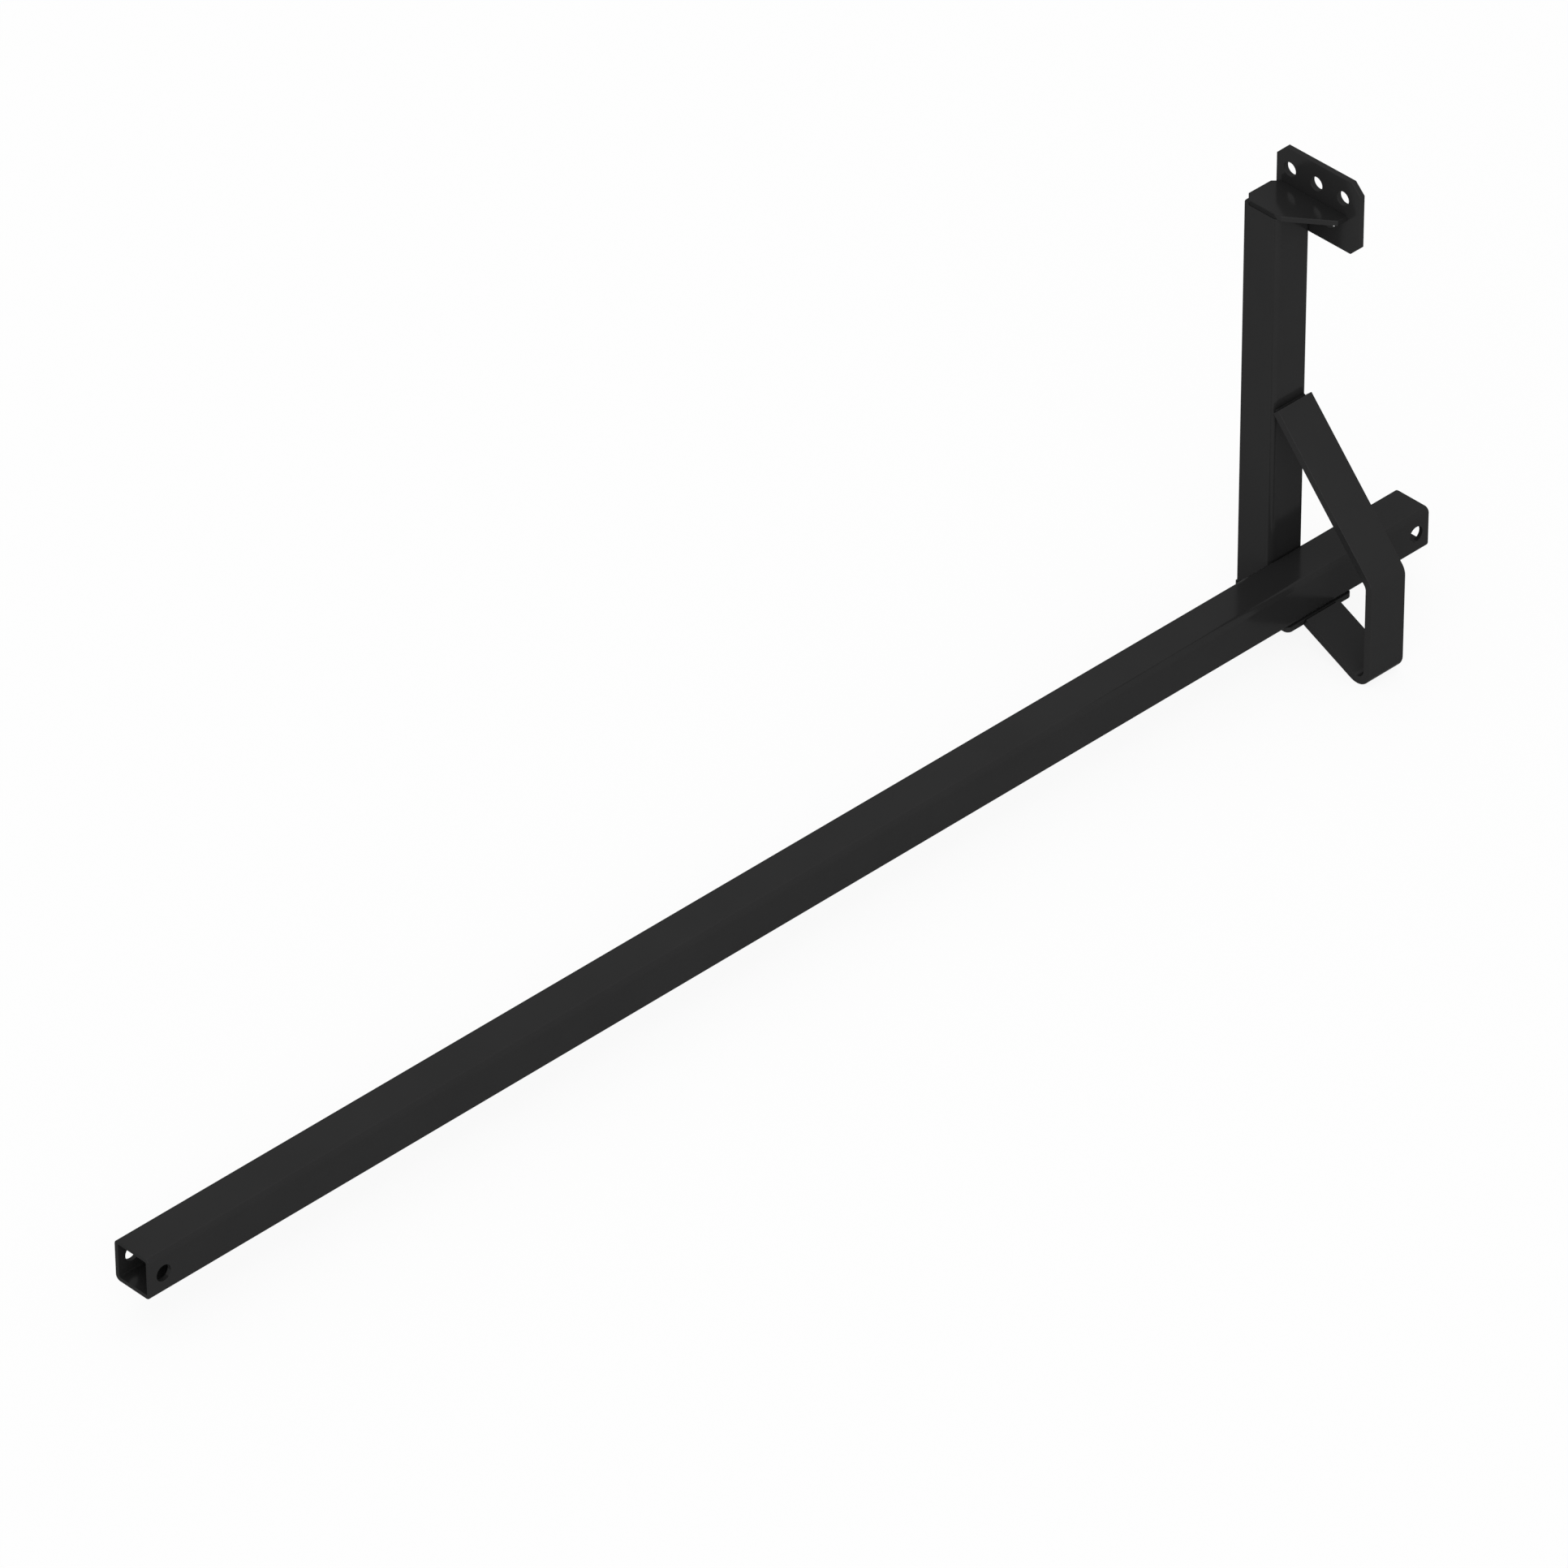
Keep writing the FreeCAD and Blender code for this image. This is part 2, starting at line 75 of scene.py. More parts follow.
# Each bead: the axis that it runs along, and the way its face looks in the two axes across it.
BEADS = {
    "weld_base_rail_inboard": ("y", (-1.0, -1.0)),
    "weld_base_rail_outboard": ("y", (1.0, -1.0)),
    "weld_base_upright_inboard": ("y", (-1.0, 1.0)),
    "weld_base_upright_outboard": ("y", (1.0, 1.0)),
    "weld_rail_upright_inboard": ("z", (-1.0, 0.2)),
    "weld_rail_upright_outboard": ("z", (1.0, 0.2)),
    "weld_gusset_mount": ("y", (-1.0, -1.0)),
    "weld_gusset_upright": ("x", (-1.0, -1.0)),
    "weld_gusset_side": ("y", (-0.9, 0.3)),
    "weld_mount_upright_back": ("z", (-0.2, 1.0)),
    "weld_mount_upright_below": ("y", (1.0, -1.0)),
    "weld_strap_head_groove": ("x", (-0.4, 0.9)),
    "weld_strap_head_under": ("x", (-0.35, -0.95)),
    "weld_strap_foot_groove": ("x", (-0.2, 1.0)),
    "weld_strap_foot_under": ("x", (0.15, -1.0)),
}
AXES = {"x": (0, 1, 2), "y": (1, 0, 2), "z": (2, 0, 1)}

# The coat. Noise scales are in waves per metre, and each piece has its noise shifted by its seed.
SEED_SHIFT = (0.37, 0.71, 0.53)
COLOUR_DRIFT = {"Scale": 9.0, "Detail": 4.0, "Roughness": 0.6}
COLOUR_DRIFT_RANGE = (0.35, 0.70)     # noise levels of the plain and of the thin colour
GLOSS_DRIFT = {"Scale": 38.0, "Detail": 5.0, "Roughness": 0.65}
GLOSS_DRIFT_RANGE = (0.3, 0.7)        # noise levels of the smoothest and of the roughest coat
PEEL_WAVES = {"Detail": 1.5, "Roughness": 0.45}
GRAIN_WAVES = {"Detail": 2.0, "Roughness": 0.5}
WELD_COAT_SEED = 21
WELD_PEEL_SHARE = 0.6                 # orange peel on the beads, against the plain coat

# The weld beads' meshes.
CORNER_DIGITS = 7                     # decimals to which a section's corners are matched
START_REACH = 1e-6                    # how far from a bead's start a corner of it may lie
CORNER_SPACING = 0.0003               # corners closer than this are thinned out
STEPS_ACROSS = 14
FEWEST_RINGS = 12
WANDER_COUNT = 64
WANDER_SHRINK = 0.06                  # most that a bead shrinks as its size wanders
WANDER_LENGTH = 0.006                 # run of bead from one wander value to the next
JITTER_COUNT = 256
JITTER_RANGE = 0.16
JITTER_SHARE = 0.25                   # how much of the jitter moves a ripple, in pitches
LONGEST_END = 0.35                    # share of a bead that one rounded end may take
SMALLEST_SWELL = 0.10                 # size at the very end, against the full bead
DEEPEST_DIP = 0.3                     # share of the bead's thickness that a valley may take
SHARP_ANGLE = math.radians(55.0)

# The studio.
WHITE = (1.0, 1.0, 1.0, 1.0)
OVERHEAD_TOWARDS = (0.0, 0.0, -1.0)
FRONT_TOWARDS = (0.62, 0.62, -0.48)
BACK_TOWARDS = (-0.5, -0.5, -0.7)
LIGHTS_AIM_AT = (0.9, 0.0, 0.2)       # near the middle of the bar
LIGHTS_DISTANCE = 3.0
SENSOR_WIDTH = 36.0                   # millimetres
CLIP_START, CLIP_END = 0.1, 200.0


# Settings that a user would change

class CoatSettings(bpy.types.PropertyGroup):
    """Black powder coat on the steel"""

    colour: bpy.props.FloatVectorProperty(
        name="Coat colour", description="Colour of the powder coat", subtype="COLOR",
        size=3, min=0.0, max=1.0, default=(0.0251, 0.0251, 0.0252))
    thin_colour: bpy.props.FloatVectorProperty(
        name="Thin coat colour", description="Colour where the coat is a little thinner",
        subtype="COLOR", size=3, min=0.0, max=1.0, default=(0.0270, 0.0270, 0.0271))
    gloss: bpy.props.FloatProperty(
        name="Gloss share", description="Share of the coat's colour that it gives back as gloss",
        default=0.334, min=0.0, max=1.0, subtype="FACTOR")
    edge_gloss: bpy.props.FloatProperty(
        name="Edge gloss", description="How much of the gloss stays at a grazing look",
        default=0.53, min=0.0, max=1.0, subtype="FACTOR")
    roughness_low: bpy.props.FloatProperty(
        name="Smoothest", description="Roughness where the coat has flowed out well",
        default=0.12, min=0.0, max=1.0)
    roughness_high: bpy.props.FloatProperty(
        name="Roughest", description="Roughness where the coat is drier",
        default=0.19, min=0.0, max=1.0)
    peel_size: bpy.props.FloatProperty(
        name="Orange peel size", description="Width of one soft ripple of the coat",
        default=0.0024, min=0.0002, unit="LENGTH")
    peel_depth: bpy.props.FloatProperty(
        name="Orange peel depth", description="Height of the coat's soft ripples",
        default=0.000012, min=0.0, precision=6, unit="LENGTH")
    grain_size: bpy.props.FloatProperty(
        name="Grain size", description="Width of the coat's fine grain",
        default=0.0006, min=0.0001, precision=5, unit="LENGTH")
    grain_depth: bpy.props.FloatProperty(
        name="Grain depth", description="Height of the coat's fine grain",
        default=0.0000015, min=0.0, precision=7, unit="LENGTH")


class BeadSettings(bpy.types.PropertyGroup):
    """Weld beads in the corners between the steel pieces"""

    ripple_pitch: bpy.props.FloatProperty(
        name="Ripple pitch", description="Distance from one ripple to the next",
        default=0.0021, min=0.0003, precision=5, unit="LENGTH")
    ripple_depth: bpy.props.FloatProperty(
        name="Ripple depth", description="Depth of the valleys between the ripples",
        default=0.00042, min=0.0, precision=5, unit="LENGTH")
    ripple_bow: bpy.props.FloatProperty(
        name="Ripple bow", description="How far a ripple bows forward at the bead's middle",
        default=0.0016, min=0.0, precision=5, unit="LENGTH")
    end_length: bpy.props.FloatProperty(
        name="End length", description="Length over which the bead rounds off at each end",
        default=0.0030, min=0.0002, precision=5, unit="LENGTH")
    step: bpy.props.FloatProperty(
        name="Mesh step", description="Distance between rings of the bead's mesh",
        default=0.00035, min=0.00005, precision=5, unit="LENGTH")
    seed: bpy.props.IntProperty(
        name="Seed", description="Start of the beads' random wander", default=11)
    # Painted shade: the beads' coat is made darker than the plain coat, to stand in for the shade
    # in the corners where the beads lie.
    shade: bpy.props.FloatProperty(
        name="Shade", description="Brightness of the coat on the beads, against the plain coat",
        default=0.62, min=0.0, max=1.5, subtype="FACTOR")
    roughness: bpy.props.FloatProperty(
        name="Extra roughness", description="How much rougher the coat is on the beads",
        default=0.14, min=0.0, max=1.0, subtype="FACTOR")


class StudioSettings(bpy.types.PropertyGroup):
    """Floor, light and camera"""

    floor_size: bpy.props.FloatProperty(
        name="Floor size", description="Side of the square floor", default=40.0, min=1.0,
        unit="LENGTH")
    floor_colour: bpy.props.FloatVectorProperty(
        name="Floor colour", description="Colour of the pale floor", subtype="COLOR",
        size=3, min=0.0, max=1.0, default=(0.92, 0.92, 0.92))
    floor_glow: bpy.props.FloatProperty(
        name="Floor whiteness", description="How much of the floor shows as plain white",
        default=0.90, min=0.0, max=1.0, subtype="FACTOR")
    sky_strength: bpy.props.FloatProperty(
        name="Sky strength", description="Strength of the even light from all round",
        default=0.60, min=0.0)
    top_strength: bpy.props.FloatProperty(
        name="Overhead strength", description="Strength of the soft overhead light",
        default=0.41, min=0.0)
    front_strength: bpy.props.FloatProperty(
        name="Front strength", description="Strength of the soft light from the front",
        default=1.26, min=0.0)
    back_strength: bpy.props.FloatProperty(
        name="Back strength", description="Strength of the soft light from behind",
        default=0.236, min=0.0)
    softness: bpy.props.FloatProperty(
        name="Softness", description="Apparent width of each light",
        default=math.radians(60.0), min=0.0, max=math.pi, subtype="ANGLE")
    lens: bpy.props.FloatProperty(
        name="Lens", description="Focal length in millimetres", default=299.716, min=1.0)
    distance: bpy.props.FloatProperty(
        name="Camera distance", description="Distance from the camera to what it looks at",
        default=13.24045, min=0.1, precision=5, unit="LENGTH")
    azimuth: bpy.props.FloatProperty(
        name="Camera azimuth", description="Camera's turn round the bar, from its front",
        default=math.radians(-44.04059), precision=5, subtype="ANGLE")
    elevation: bpy.props.FloatProperty(
        name="Camera elevation", description="Camera's height above the level",
        default=math.radians(36.49542), precision=5, subtype="ANGLE")
    roll: bpy.props.FloatProperty(
        name="Camera roll", description="Camera's turn about its own line of sight",
        default=math.radians(-0.30668), precision=5, subtype="ANGLE")
    look_at: bpy.props.FloatVectorProperty(
        name="Look at", description="Point that the camera looks at", size=3,
        default=(0.84618, -0.03369, 0.16480), precision=5, subtype="XYZ", unit="LENGTH")


# Node helpers

def node(tree, kind, **values):
    """Adds a node and sets the sockets named in values, with spaces written as underscores."""
    made = tree.nodes.new(kind)
    for name, value in values.items():
        made.inputs[name.replace("_", " ")].default_value = value
    return made


def coat_material(name, coat, seed, peel=1.0, shade=1.0, dry=0.0):
    """Black powder coat: soft orange peel, fine grain, and small drifts of colour and gloss.

    Peel scales the orange peel and dry is added to the roughness; shade scales the colour, and
    below 1 it paints shade onto the coat, as on the weld beads.
    """
    material = bpy.data.materials.new(name)
    material.use_nodes = True
    tree = material.node_tree
    link = tree.links.new
    surface = tree.nodes["Principled BSDF"]
    surface.inputs["Metallic"].default_value = coat.gloss
    surface.inputs["Specular IOR Level"].default_value = 0.0
    surface.inputs["Specular Tint"].default_value = (*[coat.edge_gloss] * 3, 1.0)

    place = node(tree, "ShaderNodeTexCoord")
    shift = node(tree, "ShaderNodeMapping")
    shift.inputs["Location"].default_value = [seed * part for part in SEED_SHIFT]
    link(place.outputs["Object"], shift.inputs["Vector"])

    drift = node(tree, "ShaderNodeTexNoise", **COLOUR_DRIFT)
    link(shift.outputs["Vector"], drift.inputs["Vector"])
    tone = node(tree, "ShaderNodeValToRGB")
    plain, thin = tone.color_ramp.elements
    plain.position, thin.position = COLOUR_DRIFT_RANGE
    # A shade below 1 darkens the coat's colour as painted shade.
    plain.color = (*[part * shade for part in coat.colour], 1.0)
    thin.color = (*[part * shade for part in coat.thin_colour], 1.0)
    link(drift.outputs["Fac"], tone.inputs["Fac"])
    link(tone.outputs["Color"], surface.inputs["Base Color"])

    haze = node(tree, "ShaderNodeTexNoise", **GLOSS_DRIFT)
    link(shift.outputs["Vector"], haze.inputs["Vector"])
    smoothest, roughest = GLOSS_DRIFT_RANGE
    gloss = node(tree, "ShaderNodeMapRange", From_Min=smoothest, From_Max=roughest,
                 To_Min=coat.roughness_low + dry, To_Max=coat.roughness_high + dry)
    link(haze.outputs["Fac"], gloss.inputs["Value"])
    link(gloss.outputs["Result"], surface.inputs["Roughness"])

    ripple = node(tree, "ShaderNodeTexNoise", Scale=1.0 / coat.peel_size, **PEEL_WAVES)
    link(shift.outputs["Vector"], ripple.inputs["Vector"])
    peel_bump = node(tree, "ShaderNodeBump", Strength=1.0, Distance=coat.peel_depth * peel)
    link(ripple.outputs["Fac"], peel_bump.inputs["Height"])

    grain = node(tree, "ShaderNodeTexNoise", Scale=1.0 / coat.grain_size, **GRAIN_WAVES)
    link(shift.outputs["Vector"], grain.inputs["Vector"])
    grain_bump = node(tree, "ShaderNodeBump", Strength=1.0, Distance=coat.grain_depth)
    link(grain.outputs["Fac"], grain_bump.inputs["Height"])
    link(peel_bump.outputs["Normal"], grain_bump.inputs["Normal"])
    link(grain_bump.outputs["Normal"], surface.inputs["Normal"])
    return material


def coat_nodes(names, coat):
    """Gives each steel piece its own coat, so that no two show the same drifts."""
    for name in names:
        seed = list(steel).index(name) + 1
        piece = steel[name]
        material = coat_material("coat_on_" + name, coat, seed)
        for place in piece.material_slots:
            place.material = material


# Weld beads

def section_outline(data, run, first, second):
    """Corners of the flat face at a packed bead's start, in order, and the run's two ends."""
    start = min(v.co[run] for v in data.vertices)
    end = max(v.co[run] for v in data.vertices)
    corner = {v.index: (round(v.co[first], CORNER_DIGITS), round(v.co[second], CORNER_DIGITS))
              for v in data.vertices if v.co[run] - start < START_REACH}
    sides = {}
    for face in data.polygons:
        ring = list(face.vertices)
        if all(i in corner for i in ring):
            for i, j in zip(ring, ring[1:] + ring[:1]):
                pair = frozenset((corner[i], corner[j]))
                sides[pair] = sides.get(pair, 0) + 1
    beside = {}
    for pair, faces in sides.items():
        if faces == 1 and len(pair) == 2:
            one, other = pair
            beside.setdefault(one, []).append(other)
            beside.setdefault(other, []).append(one)
    outline = [min(beside)]
    came_from = None
    while True:
        ways = sorted(point for point in beside[outline[-1]] if point != came_from)
        came_from = outline[-1]
        if not ways or ways[0] == outline[0] or len(outline) > len(beside):
            break
        outline.append(ways[0])
    if len(outline) != len(beside):
        raise RuntimeError("the start of bead " + data.name + " isn't one closed outline")
    return [Vector(point) for point in outline], start, end


def bead_section(name, axis, facing):
    """The open face of a packed bead's section and the two legs that touch the steel.

    Returns the face from toe to toe, each leg from its toe to the root, and the run's two ends.
    """
    run, first, second = AXES[axis]
    outline, start, end = section_outline(steel[name].data, run, first, second)
    out = Vector(facing).normalized()
    side = Vector((-out.y, out.x))
    count = len(outline)
    toe_a = min(range(count), key=lambda i: outline[i].dot(side))
    toe_b = max(range(count), key=lambda i: outline[i].dot(side))
    root = min(range(count), key=lambda i: outline[i].dot(out))

    def walk(begin, finish, way):
        chain = [outline[begin]]
        while begin != finish:
            begin = (begin + way) % count
            chain.append(outline[begin])
        return chain

    way = 1 if (root - toe_a) % count > (toe_b - toe_a) % count else -1
    face = walk(toe_a, toe_b, way)
    leg_a, leg_b = (thin_out(walk(toe, root, turn)) for toe, turn in ((toe_a, -way), (toe_b, way)))
    return face, leg_a, leg_b, start, end


def thin_out(chain):
    """The chain without the corners that crowd together."""
    kept = [chain[0]]
    for point in chain[1:-1]:
        if min((point - kept[-1]).length, (point - chain[-1]).length) >= CORNER_SPACING:
            kept.append(point)
    return kept + [chain[-1]]


def along_chain(chain, share):
    """The point at a share of the chain's length."""
    lengths = [(b - a).length for a, b in zip(chain, chain[1:])]
    left = max(0.0, min(1.0, share)) * sum(lengths)
    for a, b, length in zip(chain, chain[1:], lengths):
        if left <= length:
            return a.lerp(b, left / length if length > 0.0 else 0.0)
        left -= length
    return chain[-1].copy()


def chain_shares(chain):
    """The share of the chain's length at each of its corners."""
    lengths = [(b - a).length for a, b in zip(chain, chain[1:])]
    total = sum(lengths)
    return [sum(lengths[:i]) / total for i in range(len(chain))]


def rippled_bead(name, axis, facing, bead, seed):
    """A weld bead with crescent ripples, a slight wander in size and rounded ends."""
    run, first, second = AXES[axis]
    face, leg_a, leg_b, start, end = bead_section(name, axis, facing)

    def seat(f):
        """The point where the bead touches the steel, from toe (0) by the root to toe (1)."""
        if f <= 0.5:
            return along_chain(leg_a, 2.0 * f)
        return along_chain(leg_b, 2.0 * (1.0 - f))

    open_side = [j / STEPS_ACROSS for j in range(STEPS_ACROSS + 1)]
    rise = [along_chain(face, f) - seat(f) for f in open_side]
    seat_side = [1.0 - 0.5 * share for share in chain_shares(leg_b)[1:]]
    seat_side += [0.5 * share for share in reversed(chain_shares(leg_a)[1:-1])]

    rng = random.Random(seed)
    wander = [rng.uniform(0.0, WANDER_SHRINK) for _ in range(WANDER_COUNT)]
    jitter = [rng.uniform(-JITTER_RANGE, JITTER_RANGE) for _ in range(JITTER_COUNT)]
    length = end - start
    rings = max(FEWEST_RINGS, int(round(length / bead.step)))
    round_off = min(bead.end_length, length * LONGEST_END)

    mesh = bmesh.new()
    loops = []
    for i in range(rings + 1):
        along = length * i / rings
        from_end = min(along, length - along)
        swell = 1.0
        if from_end < round_off:
            back = 1.0 - from_end / round_off
            swell = max(SMALLEST_SWELL, math.sqrt(max(0.0, 1.0 - back * back)))
        slow = along / WANDER_LENGTH
        k = int(slow)
        t = slow - k
        t = t * t * (3.0 - 2.0 * t)
        shrink = wander[k % WANDER_COUNT] * (1.0 - t) + wander[(k + 1) % WANDER_COUNT] * t
        size = swell * (1.0 - shrink)
        flat = []
        for f, height in zip(open_side, rise):
            bow = 4.0 * f * (1.0 - f)
            at = (along - bead.ripple_bow * bow) / bead.ripple_pitch
            at += jitter[int(math.floor(at)) % JITTER_COUNT] * JITTER_SHARE
            valley = (1.0 - math.sqrt(abs(math.sin(math.pi * at)))) * bow ** 0.5
            full = height.length
            dip = min(bead.ripple_depth, DEEPEST_DIP * full) * valley
            kept = 1.0 - dip / full if full > 0.0 else 1.0
            flat.append(seat(0.5 + (f - 0.5) * size) + height * (size * kept))
        flat += [seat(0.5 + (f - 0.5) * size) for f in seat_side]
        loop = []
        for point in flat:
            place = [0.0, 0.0, 0.0]
            place[run] = start + along
            place[first], place[second] = point
            loop.append(mesh.verts.new(place))
        loops.append(loop)

    count = len(loops[0])
    for here, there in zip(loops, loops[1:]):
        for j in range(count):
            n = (j + 1) % count
            mesh.faces.new((here[j], here[n], there[n], there[j]))
    mesh.faces.new(list(reversed(loops[0])))
    mesh.faces.new(loops[-1])
    if mesh.calc_volume(signed=True) < 0.0:
        bmesh.ops.reverse_faces(mesh, faces=mesh.faces)
    data = bpy.data.meshes.new(name + "_bead")
    mesh.to_mesh(data)
    mesh.free()
    data.shade_smooth()
    data.set_sharp_from_angle(angle=SHARP_ANGLE)
    piece = bpy.data.objects.new(name + "_bead", data)
    bpy.context.scene.collection.objects.link(piece)
    return piece


# Operators

class PULLUPBAR_OT_coat_tubes(bpy.types.Operator):
    """Coats the rail and the upright"""

    bl_idname = "pullupbar.coat_tubes"
    bl_label = "Coat the tubes"

    def execute(self, context):
        coat_nodes(TUBES, context.scene.pullupbar_coat)
        return {"FINISHED"}


class PULLUPBAR_OT_coat_plates(bpy.types.Operator):
    """Coats the base plate, the mounting plate and the gusset"""

    bl_idname = "pullupbar.coat_plates"
    bl_label = "Coat the plates"

    def execute(self, context):
        coat_nodes(PLATES, context.scene.pullupbar_coat)
        return {"FINISHED"}


class PULLUPBAR_OT_coat_strap(bpy.types.Operator):
    """Coats the bent brace strap"""

    bl_idname = "pullupbar.coat_strap"
    bl_label = "Coat the strap"

    def execute(self, context):
        coat_nodes(STRAPS, context.scene.pullupbar_coat)
        return {"FINISHED"}


class PULLUPBAR_OT_lay_beads(bpy.types.Operator):
    """Lays the rippled weld beads in the places of the plain ones"""

    bl_idname = "pullupbar.lay_beads"
    bl_label = "Lay the weld beads"

    def execute(self, context):
        coat = context.scene.pullupbar_coat
        bead = context.scene.pullupbar_bead
        # The beads get a darker coat: painted shade for the corners that they fill.
        material = coat_material("painted_shade_coat_on_welds", coat, WELD_COAT_SEED, peel=WELD_PEEL_SHARE,
                                 shade=bead.shade, dry=bead.roughness)
        for number, (name, (axis, facing)) in enumerate(BEADS.items()):
            piece = rippled_bead(name, axis, facing, bead, bead.seed + number)
            piece.data.materials.append(material)
            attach(piece, "root")
            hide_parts(name)
        return {"FINISHED"}


class PULLUPBAR_OT_set_studio(bpy.types.Operator):
    """Makes the pale floor and sky, the soft lights and the camera"""

    bl_idname = "pullupbar.set_studio"
    bl_label = "Set the studio"

    def execute(self, context):
        studio = context.scene.pullupbar_studio
        self.make_floor(studio)
        self.make_sky(studio)
        self.make_light("overhead_light", studio.top_strength, studio.softness, OVERHEAD_TOWARDS)
        self.make_light("front_light", studio.front_strength, studio.softness, FRONT_TOWARDS)
        self.make_light("back_light", studio.back_strength, studio.softness, BACK_TOWARDS)
        self.make_camera(studio)
        context.scene.view_settings.view_transform = "Standard"
        return {"FINISHED"}

    def seen_directly(self, tree):
        """A factor of 1 for what the camera, a glossy surface or glass sees, and 0 for light."""
        path = node(tree, "ShaderNodeLightPath")
        first = node(tree, "ShaderNodeMath")
        first.operation = "MAXIMUM"
        tree.links.new(path.outputs["Is Camera Ray"], first.inputs[0])
        tree.links.new(path.outputs["Is Glossy Ray"], first.inputs[1])
        second = node(tree, "ShaderNodeMath")
        second.operation = "MAXIMUM"
        tree.links.new(first.outputs["Value"], second.inputs[0])
        tree.links.new(path.outputs["Is Transmission Ray"], second.inputs[1])
        return second.outputs["Value"]

    def make_floor(self, studio):
        """A square floor that shows as white and keeps a faint shadow."""
        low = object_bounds()[0].z
        half = studio.floor_size / 2.0
        data = bpy.data.meshes.new("studio_floor")
        data.from_pydata([(-half, -half, low), (half, -half, low), (half, half, low),
                          (-half, half, low)], [], [(0, 1, 2, 3)])
        floor = bpy.data.objects.new("studio_floor", data)
        bpy.context.scene.collection.objects.link(floor)
        material = bpy.data.materials.new("pale_floor")
        material.use_nodes = True
        tree = material.node_tree
        tree.nodes.clear()
        paint = node(tree, "ShaderNodeBsdfDiffuse")
        paint.inputs["Color"].default_value = (*studio.floor_colour, 1.0)
        glow = node(tree, "ShaderNodeEmission", Strength=1.0)
        glow.inputs["Color"].default_value = WHITE
        share = node(tree, "ShaderNodeMath")
        share.operation = "MULTIPLY"
        share.inputs[1].default_value = studio.floor_glow
        tree.links.new(self.seen_directly(tree), share.inputs[0])
        mix = node(tree, "ShaderNodeMixShader")
        tree.links.new(share.outputs["Value"], mix.inputs["Fac"])
        tree.links.new(paint.outputs["BSDF"], mix.inputs[1])
        tree.links.new(glow.outputs["Emission"], mix.inputs[2])
        out = node(tree, "ShaderNodeOutputMaterial")
        tree.links.new(mix.outputs["Shader"], out.inputs["Surface"])
        data.materials.append(material)
        floor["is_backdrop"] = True

    def make_sky(self, studio):
        """Even light from all round, which shows as white where it is seen directly."""
        world = bpy.data.worlds.new("pale_studio")
        bpy.context.scene.world = world
        world.use_nodes = True
        tree = world.node_tree
        tree.nodes.clear()
        even = node(tree, "ShaderNodeBackground", Strength=studio.sky_strength)
        even.inputs["Color"].default_value = WHITE
        white = node(tree, "ShaderNodeBackground", Strength=1.0)
        white.inputs["Color"].default_value = WHITE
        mix = node(tree, "ShaderNodeMixShader")
        tree.links.new(self.seen_directly(tree), mix.inputs["Fac"])
        tree.links.new(even.outputs["Background"], mix.inputs[1])
        tree.links.new(white.outputs["Background"], mix.inputs[2])
        out = node(tree, "ShaderNodeOutputWorld")
        tree.links.new(mix.outputs["Shader"], out.inputs["Surface"])

    def make_light(self, name, strength, softness, towards):
        """A soft light that shines from far away along the direction towards."""
        lamp = bpy.data.lights.new(name, "SUN")
        lamp.energy = strength
        lamp.angle = softness
        light = bpy.data.objects.new(name, lamp)
        light.rotation_mode = "QUATERNION"
        light.rotation_quaternion = Vector(towards).to_track_quat("-Z", "Y")
        light.location = Vector(LIGHTS_AIM_AT) - Vector(towards).normalized() * LIGHTS_DISTANCE
        bpy.context.scene.collection.objects.link(light)

    def make_camera(self, studio):
        """A camera that looks at the bar from its front and above, with a slight roll."""
        turn, rise, roll = studio.azimuth, studio.elevation, studio.roll
        back = Vector((math.sin(turn) * math.cos(rise), -math.cos(turn) * math.cos(rise),
                       math.sin(rise)))
        right = Vector((0.0, 0.0, 1.0)).cross(back).normalized()
        up = back.cross(right)
        across = right * math.cos(roll) + up * math.sin(roll)
        above = back.cross(across)
        data = bpy.data.cameras.new("camera")
        data.sensor_width = SENSOR_WIDTH
        data.lens = studio.lens
        data.clip_start, data.clip_end = CLIP_START, CLIP_END
        camera = bpy.data.objects.new("camera", data)
        place = Vector(studio.look_at) + back * studio.distance
        turned = Matrix((across, above, back)).transposed().to_4x4()
        camera.matrix_world = Matrix.Translation(place) @ turned
        bpy.context.scene.collection.objects.link(camera)
        bpy.context.scene.camera = camera


OPERATORS = (
    PULLUPBAR_OT_coat_tubes,
    PULLUPBAR_OT_coat_plates,
    PULLUPBAR_OT_coat_strap,
    PULLUPBAR_OT_lay_beads,
    PULLUPBAR_OT_set_studio,
)


class PULLUPBAR_PT_looks(bpy.types.Panel):
    """Lists the bar's settings and steps"""

    bl_idname = "PULLUPBAR_PT_looks"
    bl_label = "Pull Up Bar"
    bl_space_type = "VIEW_3D"
    bl_region_type = "UI"
    bl_category = "Pull Up Bar"

    def draw(self, context):
        scene = context.scene
        for title, group in (("Coat", scene.pullupbar_coat), ("Beads", scene.pullupbar_bead),
                             ("Studio", scene.pullupbar_studio)):
            box = self.layout.box()
            box.label(text=title)
            for key in group.__annotations__:
                box.prop(group, key)
        for operator in OPERATORS:
            self.layout.operator(operator.bl_idname)


CLASSES = (CoatSettings, BeadSettings, StudioSettings, *OPERATORS, PULLUPBAR_PT_looks)


def register():
    for cls in CLASSES:
        bpy.utils.register_class(cls)
    bpy.types.Scene.pullupbar_coat = bpy.props.PointerProperty(type=CoatSettings)
    bpy.types.Scene.pullupbar_bead = bpy.props.PointerProperty(type=BeadSettings)
    bpy.types.Scene.pullupbar_studio = bpy.props.PointerProperty(type=StudioSettings)


def unregister():
    del bpy.types.Scene.pullupbar_studio
    del bpy.types.Scene.pullupbar_bead
    del bpy.types.Scene.pullupbar_coat
    for cls in reversed(CLASSES):
        bpy.utils.unregister_class(cls)


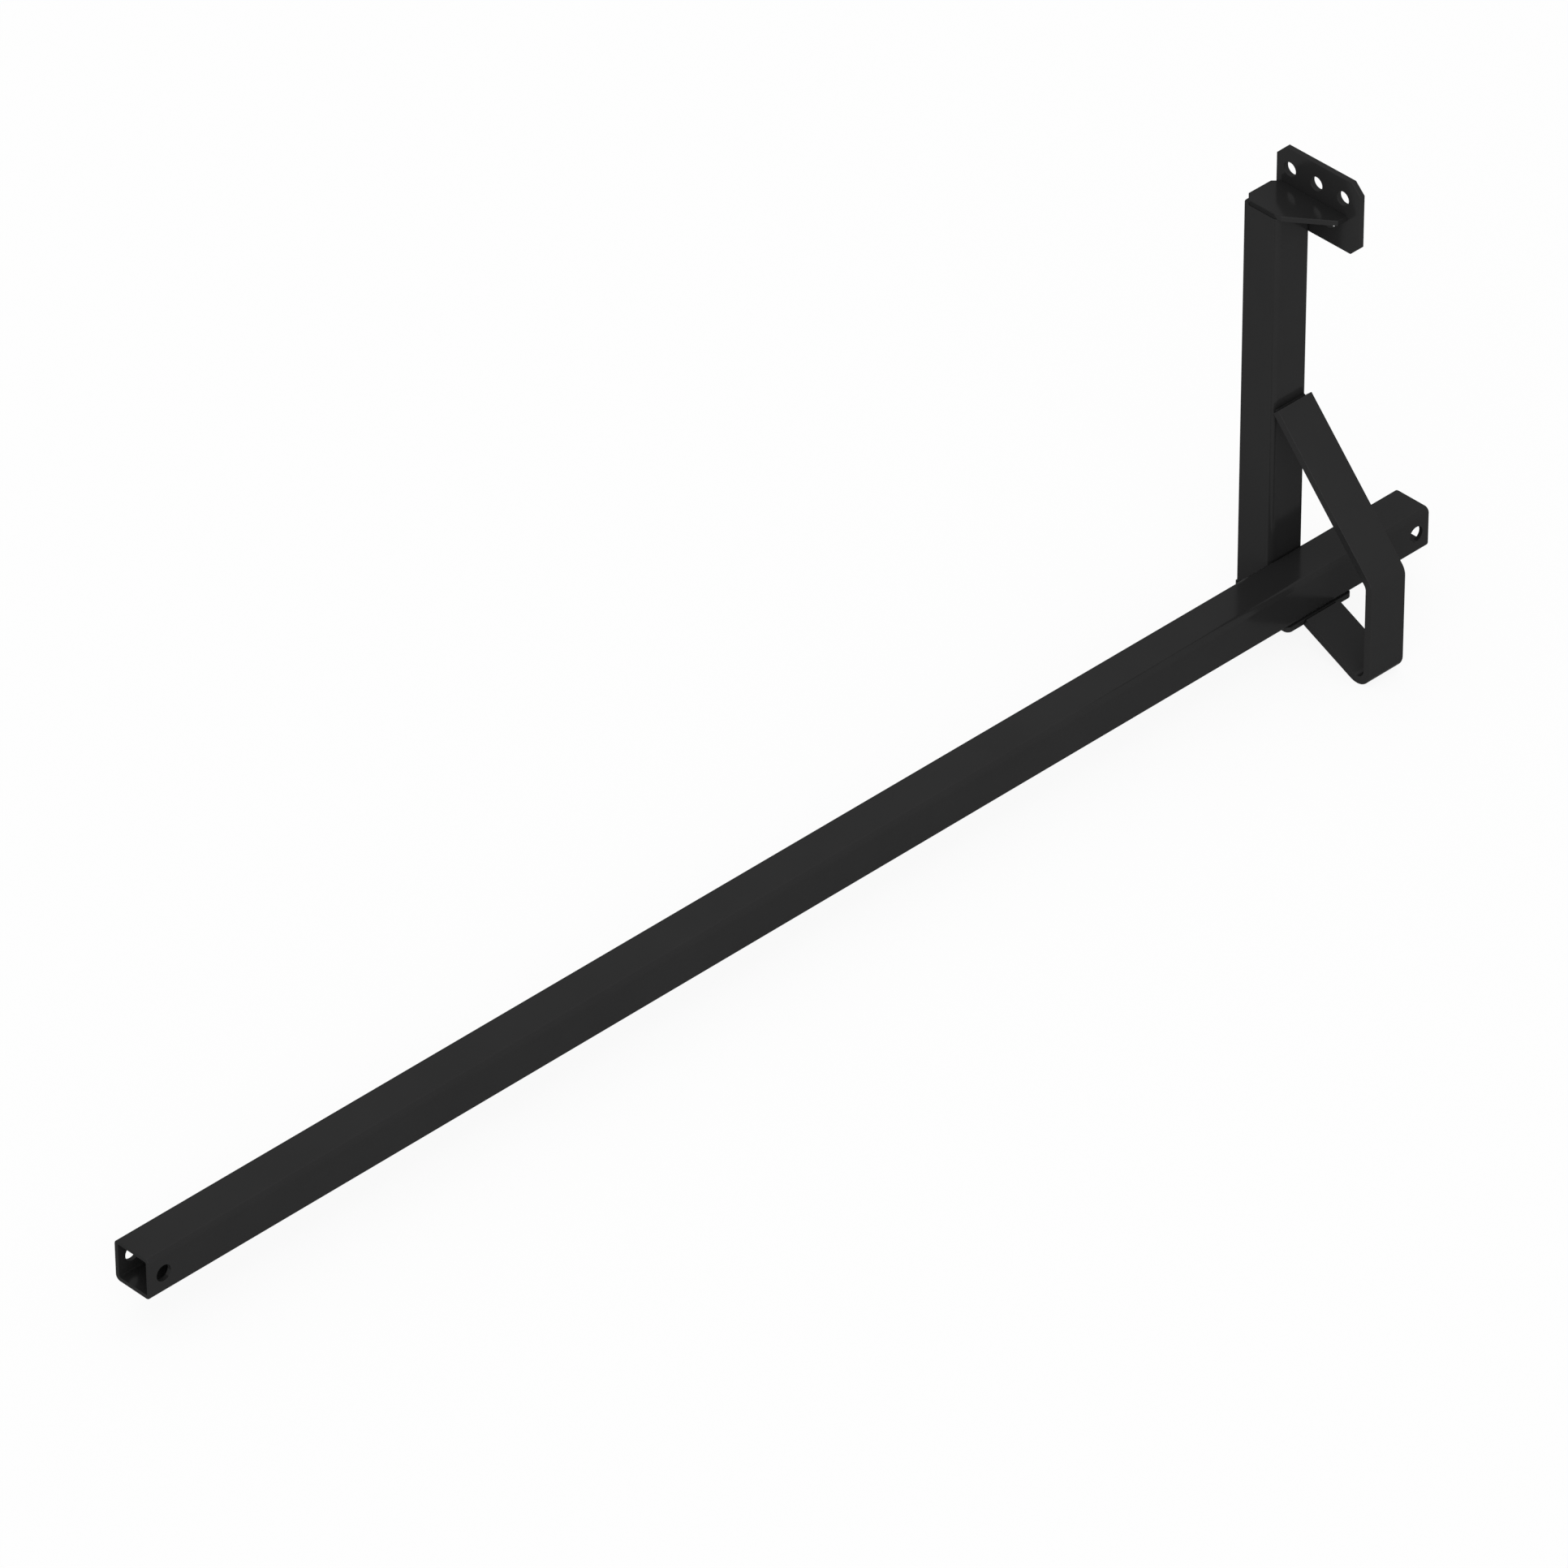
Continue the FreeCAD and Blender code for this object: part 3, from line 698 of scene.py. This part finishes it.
def main():
    register()
    bpy.ops.pullupbar.coat_tubes()
    bpy.ops.pullupbar.coat_plates()
    bpy.ops.pullupbar.coat_strap()
    bpy.ops.pullupbar.lay_beads()
    bpy.ops.pullupbar.set_studio()


if __name__ == "__main__":
    main()
